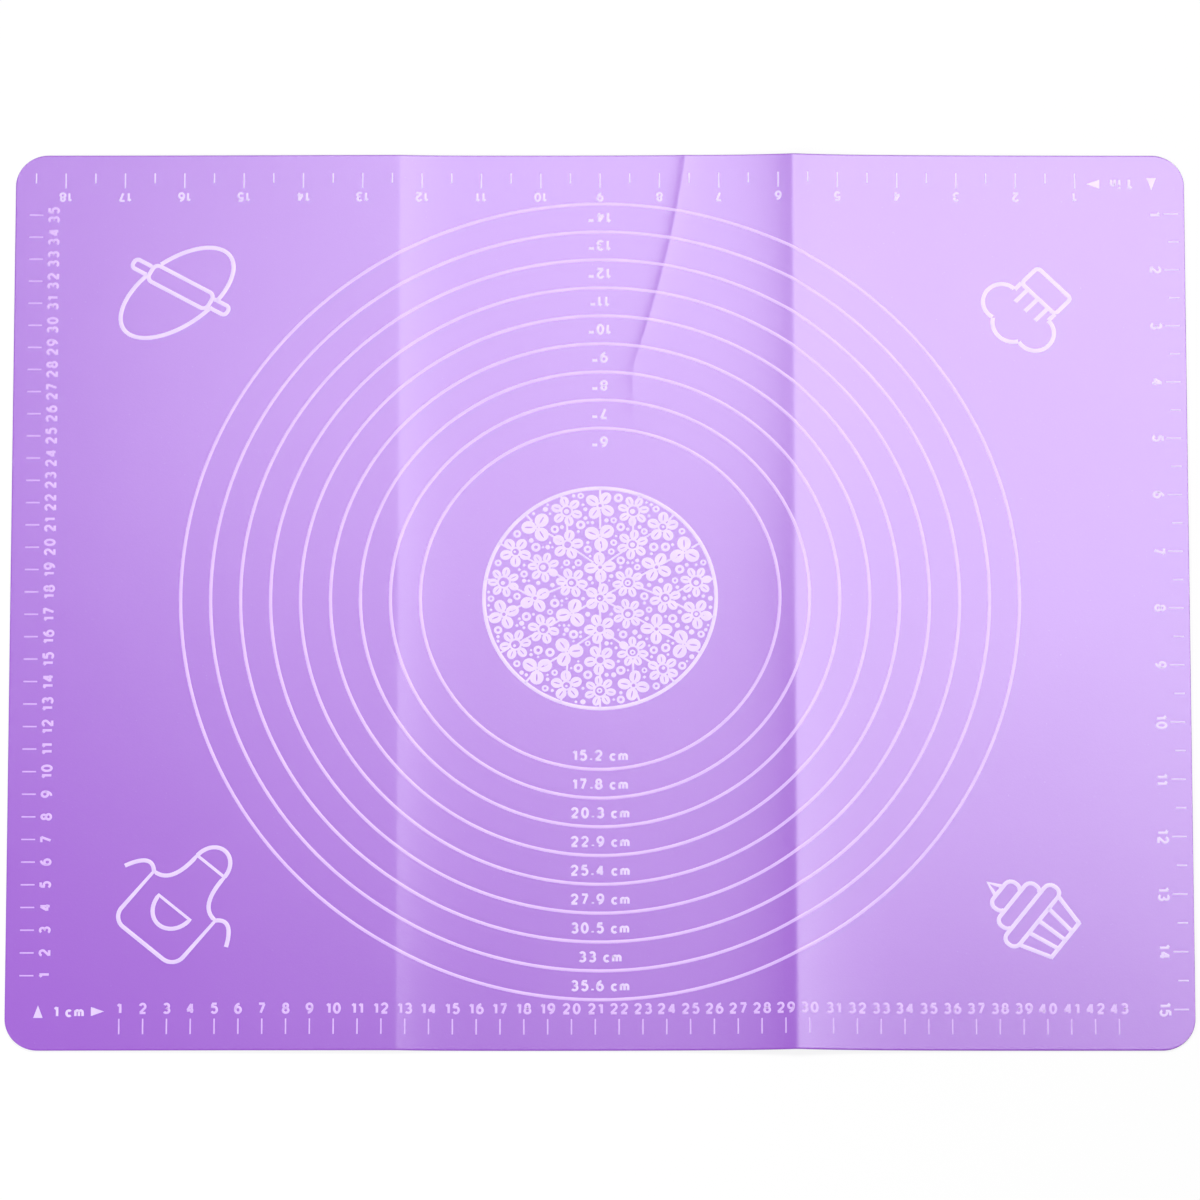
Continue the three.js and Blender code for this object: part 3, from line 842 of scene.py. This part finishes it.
def grained(name, colours, roughness, gloss, grain_of):
    """A material of two close colours with a fine grain; grain_of is (cloud scale, grain scale, relief)."""
    cloud_scale, grain_scale, bump = grain_of
    material = bpy.data.materials.new(name)
    material.use_nodes = True
    tree = material.node_tree
    shader = tree.nodes["Principled BSDF"]
    coords = tree.nodes.new("ShaderNodeTexCoord")
    grain = tree.nodes.new("ShaderNodeGroup")
    grain.node_tree = rubber_grain()
    grain.inputs["Cloud Scale"].default_value = cloud_scale
    grain.inputs["Grain Scale"].default_value = grain_scale
    tree.links.new(coords.outputs["Object"], grain.inputs["Vector"])
    spread = node_of(tree, "ShaderNodeMapRange", From_Min=CLOUD_SPREAD[0], From_Max=CLOUD_SPREAD[1])
    tree.links.new(grain.outputs["Cloud"], spread.inputs["Value"])
    mix = tree.nodes.new("ShaderNodeMix")
    mix.data_type = "RGBA"
    mix.inputs[6].default_value = (*colours[0], 1)
    mix.inputs[7].default_value = (*colours[1], 1)
    tree.links.new(spread.outputs["Result"], mix.inputs[0])
    tree.links.new(mix.outputs[2], shader.inputs["Base Color"])
    rough = node_of(tree, "ShaderNodeMapRange", To_Min=roughness[0], To_Max=roughness[1])
    tree.links.new(grain.outputs["Grain"], rough.inputs["Value"])
    tree.links.new(rough.outputs["Result"], shader.inputs["Roughness"])
    relief = node_of(tree, "ShaderNodeBump", Strength=bump, Distance=RELIEF_DEPTH)
    tree.links.new(grain.outputs["Grain"], relief.inputs["Height"])
    tree.links.new(relief.outputs["Normal"], shader.inputs["Normal"])
    shader.inputs["Specular IOR Level"].default_value = gloss
    return material


def silicone():
    """Purple silicone, soft and a little cloudy."""
    if "purple_silicone" in bpy.data.materials:
        return bpy.data.materials["purple_silicone"]
    s = bpy.context.scene.pastry_mat_sheet
    colours = (s.colour, s.cloud_colour)
    return grained("purple_silicone", colours, SILICONE_ROUGHNESS, SILICONE_GLOSS, SILICONE_GRAIN)


def ink(full):
    """White print, tinted by the silicone under it; thinner on the rings and the centimetre scales."""
    name = "milky_print" if full else "milky_line"
    if name in bpy.data.materials:
        return bpy.data.materials[name]
    s = bpy.context.scene.pastry_mat_print
    colours = (s.colour, s.thin_colour) if full else (s.line_colour, s.thin_line_colour)
    return grained(name, colours, INK_ROUGHNESS, INK_GLOSS, INK_GRAIN)


class MAT_OT_sheet(bpy.types.Operator):
    """Lays the silicone sheet as three panels and the two strips that bend between them"""

    bl_idname = "pastry_mat.sheet"
    bl_label = "Silicone sheet"

    def execute(self, context):
        for zone, (low, high) in zones().items():
            bpy.ops.object.select_all(action="DESELECT")
            bpy.ops.mesh.primitive_grid_add(x_subdivisions=COLUMNS[zone], y_subdivisions=ROWS, size=1)
            sheet = context.active_object
            for vertex in sheet.data.vertices:
                vertex.co = self.spot(zone, low, high, vertex.co.x + 0.5, vertex.co.y + 0.5)
            bpy.ops.object.modifier_add(type="SOLIDIFY")
            sheet.modifiers[0].thickness = SHEET_TOP
            sheet.modifiers[0].offset = 1
            bpy.ops.object.modifier_apply(modifier=sheet.modifiers[0].name)
            self.square_seams(sheet)
            self.round_rim(sheet)
            finish_piece(sheet, zone + "_sheet", silicone(), zone)
            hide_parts(zone)
        return {"FINISHED"}

    def spot(self, zone, low, high, across, along):
        """Where a grid point of a zone lies; across and along run from 0 to 1."""
        y = HALF_DEPTH * (2 * self.ease(along) - 1)
        if zone.endswith("crease"):
            x = low + (high - low) * across
        elif zone == "centre_panel":
            middle = crinkle_x(y)
            if across < 0.5:
                x = low + (middle - low) * self.ease(2 * across)
            else:
                x = middle + (high - middle) * self.ease(2 * across - 1)
        else:
            x = low + (high - low) * self.ease(across)
        x, y = self.corner(x, y)
        return Vector((x, y, lie(x, y)))

    def ease(self, t):
        """Runs from 0 to 1 with closer steps at both ends."""
        return t - END_CLOSENESS * math.sin(2 * math.pi * t) / (2 * math.pi)

    def corner(self, x, y):
        """Draws the points in the square of a corner in to its round."""
        radius = bpy.context.scene.pastry_mat_sheet.corner_radius
        u = (abs(x) - HALF_WIDTH + radius) / radius
        v = (abs(y) - HALF_DEPTH + radius) / radius
        if u <= 0 or v <= 0:
            return x, y
        round_u = u * math.sqrt(1 - v * v / 2)
        round_v = v * math.sqrt(1 - u * u / 2)
        return (math.copysign(HALF_WIDTH - radius + radius * round_u, x),
                math.copysign(HALF_DEPTH - radius + radius * round_v, y))

    def seam_near(self, x):
        """The seam between two zones that a point lies at, if any."""
        for zone in zones().values():
            for place in zone:
                if abs(x - place) < SEAM_NEARNESS and abs(place) < HALF_WIDTH:
                    return place
        return None

    def square_seams(self, sheet):
        """Brings the end walls of a zone back to the planes where it meets its neighbours."""
        for vertex in sheet.data.vertices:
            seam = self.seam_near(vertex.co.x)
            if seam is not None:
                vertex.co.x = seam

    def round_rim(self, sheet):
        """Rounds the cut edge of the mat and leaves the seams between zones square."""
        take(sheet)
        bpy.ops.object.mode_set(mode="EDIT")
        bpy.ops.mesh.select_mode(type="EDGE")
        bpy.ops.mesh.select_all(action="DESELECT")
        bpy.ops.mesh.edges_select_sharp(sharpness=RIM_ANGLE)
        bpy.ops.object.mode_set(mode="OBJECT")
        mesh = sheet.data
        for edge in mesh.edges:
            if all(self.seam_near(mesh.vertices[i].co.x) is not None for i in edge.vertices):
                edge.select = False
        bpy.ops.object.mode_set(mode="EDIT")
        radius = bpy.context.scene.pastry_mat_sheet.rim_radius
        bpy.ops.mesh.bevel(offset=radius, segments=2, affect="EDGES")
        bpy.ops.object.mode_set(mode="OBJECT")


class MAT_OT_rings(bpy.types.Operator):
    """Prints the measuring rings, cut where they cross the bending strips"""

    bl_idname = "pastry_mat.rings"
    bl_label = "Measuring rings"

    def execute(self, context):
        crossing = {"left_crease": [], "right_crease": []}
        swallowed = {"left_crease": [], "right_crease": []}
        for inches in RING_INCHES:
            self.ring(inches, crossing, swallowed)
        for zone, parts in crossing.items():
            take(*parts)
            bpy.ops.object.join()
            finish_print(parts[0], zone + "_ring_lines", zone)
            if swallowed[zone]:
                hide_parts(*swallowed[zone])
        return {"FINISHED"}

    def ring(self, inches, crossing, swallowed):
        """One ring, as arcs on the panels and short parts that cross the creases or end in them."""
        width = bpy.context.scene.pastry_mat_print.ring_line
        name = f"ring_{inches:02d}in"
        bpy.ops.object.select_all(action="DESELECT")
        bpy.ops.mesh.primitive_torus_add(major_radius=inches * INCH / 2, minor_radius=width / 2,
                                         major_segments=RING_STEPS_PER_INCH * inches,
                                         minor_segments=LINE_SIDES)
        whole = bpy.context.active_object
        flatten(whole, width / 2)
        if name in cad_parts:
            finish_print(whole, name + "_line", "centre_panel")
            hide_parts(name)
            return
        for zone, (low, high) in zones().items():
            part = copy_of(whole)
            trim(part, (low, 0, 0), (1, 0, 0))
            trim(part, (high, 0, 0), (-1, 0, 0))
            side = zone.split("_")[0]
            if zone in crossing:
                crossing[zone].append(part)
            elif zone == "centre_panel":
                self.arcs(part, name)
            elif part.data.vertices:
                finish_print(part, f"{name}_{side}_line", zone)
                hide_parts(f"{name}_{side}_arc")
            else:
                swallowed[side + "_crease"].append(f"{name}_{side}_arc")
                bpy.data.objects.remove(part)
        bpy.data.objects.remove(whole)

    def arcs(self, part, name):
        """Parts the middle of a ring into its far and its near arc."""
        for side, way in (("top", 1), ("bottom", -1)):
            half = copy_of(part)
            trim(half, (0, 0, 0), (0, way, 0))
            finish_print(half, f"{name}_{side}_line", "centre_panel")
            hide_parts(f"{name}_{side}_arc")
        bpy.data.objects.remove(part)


class MAT_OT_medallion(bpy.types.Operator):
    """Prints the disc in the middle, a lace of small flowers"""

    bl_idname = "pastry_mat.medallion"
    bl_label = "Centre medallion"

    def execute(self, context):
        low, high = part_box("centre_medallion")
        areas, lines, rim = lace((high.x - low.x) / 2 / MM)
        petals = drawn_areas("medallion", [metres(points) for points in areas])
        ties = drawn_lines("ties", [(metres(points), closed) for points, closed in lines], TIE_WIDTH * MM)
        edge = drawn_lines("rim", [(metres(points), closed) for points, closed in rim], RIM_WIDTH * MM)
        take(petals, ties, edge)
        bpy.ops.object.join()
        finish_print(petals, "centre_medallion_lace", "centre_panel", full=True)
        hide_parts("centre_medallion")
        return {"FINISHED"}


class MAT_OT_pictures(bpy.types.Operator):
    """Prints the four line drawings in the corners"""

    bl_idname = "pastry_mat.pictures"
    bl_label = "Corner pictures"

    def execute(self, context):
        width = context.scene.pastry_mat_print.picture_line
        drawings = (
            ("rolling_pin_print", rolling_pin(), PIN_TURN, "left_panel"),
            ("chef_hat_print", chef_hat(), HAT_TURN, "right_panel"),
            ("apron_print", apron(), APRON_TURN, "left_panel"),
            ("apron_pocket_print", apron_pocket(), APRON_TURN, "left_panel"),
            ("cupcake_print", cupcake(), CUPCAKE_TURN, "right_panel"),
        )
        for node, strokes, turn, zone in drawings:
            placed = [(metres(turned(points, turn)), closed) for points, closed in strokes]
            picture = drawn_lines(node, placed, width)
            put_at(picture, node)
            finish_print(picture, node.replace("print", "picture"), zone, full=True)
            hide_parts(node)
        return {"FINISHED"}


class MAT_OT_scales(bpy.types.Operator):
    """Prints the two centimetre scales and the two inch scales along the edges"""

    bl_idname = "pastry_mat.scales"
    bl_label = "Scales"

    def execute(self, context):
        for scale in SCALES:
            self.print_scale(scale)
        return {"FINISHED"}

    def print_scale(self, scale):
        """One scale, in a piece for each zone that it crosses."""
        s = bpy.context.scene.pastry_mat_print
        name = scale.name
        first, last = scale.ticks

        def at(number, depth):
            way = number * scale.pitch
            return tuple(scale.zero[k] + scale.along[k] * way + scale.inward[k] * depth for k in (0, 1))

        strokes = {zone: [] for zone in COLUMNS}
        labels = {zone: [] for zone in COLUMNS}
        for number in range(1, scale.count + 1):
            zone = self.zone_of_mark(at(number, 0)[0])
            strokes[zone].append(([at(number, first), at(number, last)], False))
            labels[zone].append((str(number), *at(number, scale.figures), scale.turn))
            if scale.half_tick and (number < scale.count or scale.along[0]):
                middle = number + 0.5
                zone = self.zone_of_mark(at(middle, 0)[0])
                strokes[zone].append(([at(middle, first), at(middle, first + scale.half_tick)], False))
        height = s.figure_height * (FAR_FIGURES if name == "inch_scale_far" else 1)
        for zone in COLUMNS:
            if strokes[zone]:
                marks = drawn_lines(name, strokes[zone], s.tick_line)
                if labels[zone]:
                    take(marks, drawn_text(name + "_figures", labels[zone], height))
                    bpy.ops.object.join()
                finish_print(marks, f"{name}_{zone}", zone, full=name.startswith("inch"))

    def zone_of_mark(self, x):
        """The zone that holds a mark whole: a bending strip takes what stands on it or reaches into it."""
        found = None
        for zone, (low, high) in zones().items():
            if zone.endswith("crease") and low - MARK_REACH < x < high + MARK_REACH:
                return zone
            if low <= x <= high:
                found = zone
        return found


class MAT_OT_unit_marks(bpy.types.Operator):
    """Prints the arrows and the unit letters where the scales begin"""

    bl_idname = "pastry_mat.unit_marks"
    bl_label = "Unit marks"

    def execute(self, context):
        for node, turn, zone in (("cm_scale_up_arrow", 90, "left_panel"),
                                 ("cm_scale_right_arrow", 0, "left_panel"),
                                 ("inch_scale_left_arrow", 180, "right_panel"),
                                 ("inch_scale_down_arrow", -90, "right_panel")):
            low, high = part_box(node)
            sizes = sorted((high.x - low.x, high.y - low.y))
            flat = [(sizes[1] / 2, 0), (-sizes[1] / 2, sizes[0] / 2), (-sizes[1] / 2, -sizes[0] / 2)]
            arrow = drawn_areas(node, [turned(flat, turn)])
            put_at(arrow, node)
            finish_print(arrow, node + "_film", zone, full=True)
            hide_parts(node)
        height = context.scene.pastry_mat_print.label_height
        for name, text, nodes, turn, zone in (
                ("cm_unit", "1 cm", ("cm_scale_up_arrow", "cm_scale_right_arrow"), 0, "left_panel"),
                ("inch_unit", "1 in", ("inch_scale_left_arrow", "inch_scale_down_arrow"), 180,
                 "right_panel")):
            corners = [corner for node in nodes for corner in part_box(node)]
            x = (min(p.x for p in corners) + max(p.x for p in corners)) / 2
            y = (min(p.y for p in corners) + max(p.y for p in corners)) / 2
            letters = drawn_text(name, [(text, x, y, turn)], height)
            finish_print(letters, name + "_letters", zone, full=True)
        return {"FINISHED"}


class MAT_OT_ring_labels(bpy.types.Operator):
    """Prints each ring's size, in inches at the far side and in centimetres at the near side"""

    bl_idname = "pastry_mat.ring_labels"
    bl_label = "Ring labels"

    def execute(self, context):
        height = context.scene.pastry_mat_print.label_height
        inches = [(f'{n}"', 0, n * INCH / 2 - INCH_LABEL_INSET, 180) for n in RING_INCHES]
        centimetres = []
        for n in RING_INCHES:
            size = round(n * CM_PER_INCH, 1)
            centimetres.append((f"{size:g} cm", 0, -n * INCH / 2 + CM_LABEL_INSET, 0))
        for name, labels in (("ring_inch_labels", inches), ("ring_cm_labels", centimetres)):
            letters = drawn_text(name, labels, height)
            finish_print(letters, name, "centre_panel", full=True)
        return {"FINISHED"}


class MAT_OT_stage(bpy.types.Operator):
    """Sets the white floor, the soft light and the camera at the photograph's angle"""

    bl_idname = "pastry_mat.stage"
    bl_label = "Stage"

    def execute(self, context):
        s = context.scene.pastry_mat_stage
        context.scene.view_settings.view_transform = "Standard"
        self.floor(s)
        world = bpy.data.worlds.new("studio")
        world.use_nodes = True
        background = world.node_tree.nodes["Background"]
        background.inputs["Color"].default_value = (1, 1, 1, 1)
        background.inputs["Strength"].default_value = s.fill_strength
        context.scene.world = world
        self.lamp("key", KEY_PLACE, KEY_SIZE, s.key_power)
        self.lamp("side", SIDE_PLACE, SIDE_SIZE, s.side_power)
        back = Vector((0, -math.cos(s.elevation), math.sin(s.elevation)))
        turn = (-back).to_track_quat("-Z", "Y").to_euler()
        bpy.ops.object.camera_add(location=back * s.distance, rotation=turn)
        camera = context.active_object
        camera.data.lens = s.lens
        camera.data.shift_y = s.shift
        context.scene.camera = camera
        return {"FINISHED"}

    def lamp(self, name, place, size, power):
        """An oblong soft light that faces the middle of the mat."""
        turn = (-Vector(place)).to_track_quat("-Z", "Y").to_euler()
        bpy.ops.object.light_add(type="AREA", location=place, rotation=turn)
        lamp = bpy.context.active_object
        lamp.name = name
        lamp.data.shape = "RECTANGLE"
        lamp.data.size = size[0]
        lamp.data.size_y = size[1]
        lamp.data.energy = power

    def floor(self, s):
        """A white floor that keeps the mat's soft shadow."""
        bpy.ops.object.select_all(action="DESELECT")
        bpy.ops.mesh.primitive_plane_add(size=FLOOR_SIZE, location=(0, 0, CAD_LOW.z - FLOOR_GAP))
        floor = bpy.context.active_object
        floor.name = "floor"
        material = bpy.data.materials.new("white_floor")
        material.use_nodes = True
        tree = material.node_tree
        tree.nodes.clear()
        shade = node_of(tree, "ShaderNodeBsdfDiffuse", Color=(FLOOR_GREY, FLOOR_GREY, FLOOR_GREY, 1))
        glow = node_of(tree, "ShaderNodeEmission", Color=(1, 1, 1, 1), Strength=s.floor_glow)
        dim = 1 - s.floor_glow
        soft = node_of(tree, "ShaderNodeBsdfDiffuse", Color=(dim, dim, dim, 1))
        both = tree.nodes.new("ShaderNodeAddShader")
        tree.links.new(glow.outputs[0], both.inputs[0])
        tree.links.new(soft.outputs[0], both.inputs[1])
        path = tree.nodes.new("ShaderNodeLightPath")
        seen = tree.nodes.new("ShaderNodeMixShader")
        tree.links.new(path.outputs["Is Camera Ray"], seen.inputs[0])
        tree.links.new(shade.outputs[0], seen.inputs[1])
        tree.links.new(both.outputs[0], seen.inputs[2])
        output = tree.nodes.new("ShaderNodeOutputMaterial")
        tree.links.new(seen.outputs[0], output.inputs["Surface"])
        floor.data.materials.append(material)


class MAT_PT_panel(bpy.types.Panel):
    """Settings and steps of the pastry mat"""

    bl_idname = "MAT_PT_panel"
    bl_label = "Pastry mat"
    bl_space_type = "VIEW_3D"
    bl_region_type = "UI"
    bl_category = "Pastry mat"

    def draw(self, context):
        for name in SETTINGS:
            settings = getattr(context.scene, name)
            box = self.layout.box()
            for prop in settings.__annotations__:
                box.prop(settings, prop)
        for step in STEPS:
            self.layout.operator(step.bl_idname)


SETTINGS = {
    "pastry_mat_sheet": PastryMatSheet,
    "pastry_mat_print": PastryMatPrint,
    "pastry_mat_stage": PastryMatStage,
}
STEPS = (MAT_OT_sheet, MAT_OT_rings, MAT_OT_medallion, MAT_OT_pictures, MAT_OT_scales, MAT_OT_unit_marks,
         MAT_OT_ring_labels, MAT_OT_stage)


def register():
    for item in (*SETTINGS.values(), *STEPS, MAT_PT_panel):
        bpy.utils.register_class(item)
    for name, group in SETTINGS.items():
        setattr(bpy.types.Scene, name, bpy.props.PointerProperty(type=group))


def unregister():
    for name in SETTINGS:
        delattr(bpy.types.Scene, name)
    for item in reversed((*SETTINGS.values(), *STEPS, MAT_PT_panel)):
        bpy.utils.unregister_class(item)


def main():
    register()
    bpy.ops.pastry_mat.sheet()
    bpy.ops.pastry_mat.rings()
    bpy.ops.pastry_mat.medallion()
    bpy.ops.pastry_mat.pictures()
    bpy.ops.pastry_mat.scales()
    bpy.ops.pastry_mat.unit_marks()
    bpy.ops.pastry_mat.ring_labels()
    bpy.ops.pastry_mat.stage()


if __name__ == "__main__":
    main()
